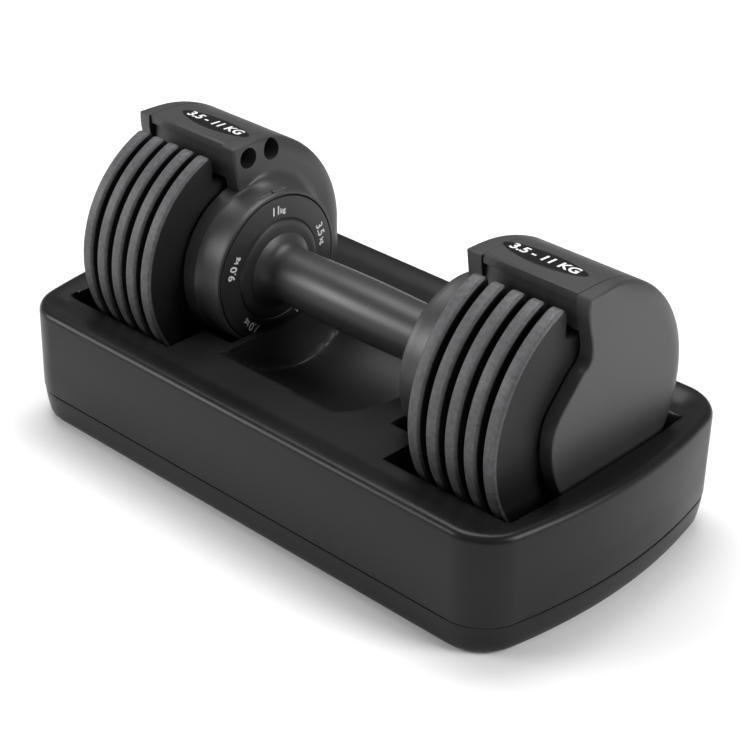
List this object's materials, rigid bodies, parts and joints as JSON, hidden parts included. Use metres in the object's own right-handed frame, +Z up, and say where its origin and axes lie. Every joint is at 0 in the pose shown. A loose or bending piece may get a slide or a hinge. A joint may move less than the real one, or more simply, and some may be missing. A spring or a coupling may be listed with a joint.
{
  "type": "adjustable dumbbell",
  "caption": "Adjustable dumbbell in its tray: twisting the handle draws selector rods out of the cast plates, and the plates left unselected stay in the tray.",
  "frame": {"origin": "On the ground under the middle of the tray, level with the undersides of its feet.", "axes": "+X along the handle towards the right head, +Y towards the side that the housings close, +Z up; the open side with the plates in view faces -Y."},
  "size_m": [0.3796, 0.201, 0.1726],
  "materials": {
    "tray_plastic": "moulded charcoal-black plastic with a satin surface",
    "housing_plastic": "moulded charcoal-black plastic with a fine satin grain",
    "plate_iron": "cast iron under dark grey hammered paint, slightly rough",
    "grip_plastic": "dark grey satin grip",
    "badge_plastic": "black semi-gloss badge",
    "white_plastic": "off-white nylon and white print",
    "steel": "bright turned steel",
    "dark_steel": "blackened steel",
    "foot_rubber": "black rubber"
  },
  "bodies": {
    "tray": {"tray_shell": "tray_plastic", "tray_base": "tray_plastic", "tray_foot_1": "foot_rubber", "tray_foot_2": "foot_rubber", "tray_foot_3": "foot_rubber", "tray_foot_4": "foot_rubber", "tray_screw_1": "steel", "tray_screw_2": "steel", "tray_screw_3": "steel", "tray_screw_4": "steel", "lock_release_post": "white_plastic", "left_plate_rack": "housing_plastic", "right_plate_rack": "housing_plastic"},
    "dumbbell_frame": {"core_tube": "steel", "left_housing": "housing_plastic", "right_housing": "housing_plastic", "left_end_cap": "housing_plastic", "right_end_cap": "housing_plastic", "left_rod_bush": "white_plastic", "right_rod_bush": "white_plastic", "left_badge": "badge_plastic", "right_badge": "badge_plastic", "left_tie_bolt_front": "steel", "right_tie_bolt_front": "steel", "left_tie_bolt_back": "steel", "right_tie_bolt_back": "steel", "left_core_clip": "dark_steel", "right_core_clip": "dark_steel", "left_core_nut": "dark_steel", "right_core_nut": "dark_steel", "lock_spring": "steel", "detent_spring": "steel", "detent_ball": "steel"},
    "handle": {"handle_grip": "grip_plastic", "left_cam_sleeve": "white_plastic", "right_cam_sleeve": "white_plastic", "left_dial": "housing_plastic", "right_dial": "housing_plastic"},
    "left_selector": {"left_selector_rod": "steel", "left_follower_pin": "dark_steel"},
    "right_selector": {"right_selector_rod": "steel", "right_follower_pin": "dark_steel"},
    "lock_pin": {"lock_pin": "dark_steel"},
    "left_plate_1": {"left_plate_1": "plate_iron"},
    "left_plate_2": {"left_plate_2": "plate_iron"},
    "left_plate_3": {"left_plate_3": "plate_iron"},
    "left_plate_4": {"left_plate_4": "plate_iron"},
    "left_plate_5": {"left_plate_5": "plate_iron"},
    "right_plate_1": {"right_plate_1": "plate_iron"},
    "right_plate_2": {"right_plate_2": "plate_iron"},
    "right_plate_3": {"right_plate_3": "plate_iron"},
    "right_plate_4": {"right_plate_4": "plate_iron"},
    "right_plate_5": {"right_plate_5": "plate_iron"}
  },
  "joints": [
    {"name": "dumbbell_lift", "type": "slide", "parent": "tray", "child": "dumbbell_frame", "axis": [0, 0, 1], "range_m": [0, 0.16]},
    {"name": "handle_twist", "type": "hinge", "parent": "dumbbell_frame", "child": "handle", "pos_m": [0, 0, 0.099], "axis": [-1, 0, 0], "range_deg": [0, 288]},
    {"name": "left_selector_slide", "type": "slide", "parent": "dumbbell_frame", "child": "left_selector", "axis": [1, 0, 0], "range_m": [0, 0.0501]},
    {"name": "right_selector_slide", "type": "slide", "parent": "dumbbell_frame", "child": "right_selector", "axis": [-1, 0, 0], "range_m": [0, 0.0501]},
    {"name": "lock_pin_drop", "type": "slide", "parent": "dumbbell_frame", "child": "lock_pin", "axis": [0, 0, -1], "range_m": [0, 0.00401], "deforming": ["lock_spring"]},
    {"name": "left_plate_1_lift", "type": "slide", "parent": "tray", "child": "left_plate_1", "axis": [0, 0, 1], "range_m": [0, 0.1601]},
    {"name": "left_plate_2_lift", "type": "slide", "parent": "tray", "child": "left_plate_2", "axis": [0, 0, 1], "range_m": [0, 0.1601]},
    {"name": "left_plate_3_lift", "type": "slide", "parent": "tray", "child": "left_plate_3", "axis": [0, 0, 1], "range_m": [0, 0.1601]},
    {"name": "left_plate_4_lift", "type": "slide", "parent": "tray", "child": "left_plate_4", "axis": [0, 0, 1], "range_m": [0, 0.1601]},
    {"name": "left_plate_5_lift", "type": "slide", "parent": "tray", "child": "left_plate_5", "axis": [0, 0, 1], "range_m": [0, 0.1601]},
    {"name": "right_plate_1_lift", "type": "slide", "parent": "tray", "child": "right_plate_1", "axis": [0, 0, 1], "range_m": [0, 0.1601]},
    {"name": "right_plate_2_lift", "type": "slide", "parent": "tray", "child": "right_plate_2", "axis": [0, 0, 1], "range_m": [0, 0.1601]},
    {"name": "right_plate_3_lift", "type": "slide", "parent": "tray", "child": "right_plate_3", "axis": [0, 0, 1], "range_m": [0, 0.1601]},
    {"name": "right_plate_4_lift", "type": "slide", "parent": "tray", "child": "right_plate_4", "axis": [0, 0, 1], "range_m": [0, 0.1601]},
    {"name": "right_plate_5_lift", "type": "slide", "parent": "tray", "child": "right_plate_5", "axis": [0, 0, 1], "range_m": [0, 0.1601]}
  ],
  "couplings": [
    {"joint": "left_selector_slide", "follows": "handle_twist", "m_per_rad": 0.0099472},
    {"joint": "right_selector_slide", "follows": "handle_twist", "m_per_rad": 0.0099472},
    {"joint": "lock_pin_drop", "follows": "dumbbell_lift", "ratio": 0.025},
    {"joint": "left_plate_1_lift", "follows": "dumbbell_lift", "ratio": 1},
    {"joint": "left_plate_2_lift", "follows": "dumbbell_lift", "ratio": 1},
    {"joint": "left_plate_3_lift", "follows": "dumbbell_lift", "ratio": 1},
    {"joint": "left_plate_4_lift", "follows": "dumbbell_lift", "ratio": 1},
    {"joint": "left_plate_5_lift", "follows": "dumbbell_lift", "ratio": 1},
    {"joint": "right_plate_1_lift", "follows": "dumbbell_lift", "ratio": 1},
    {"joint": "right_plate_2_lift", "follows": "dumbbell_lift", "ratio": 1},
    {"joint": "right_plate_3_lift", "follows": "dumbbell_lift", "ratio": 1},
    {"joint": "right_plate_4_lift", "follows": "dumbbell_lift", "ratio": 1},
    {"joint": "right_plate_5_lift", "follows": "dumbbell_lift", "ratio": 1}
  ]
}
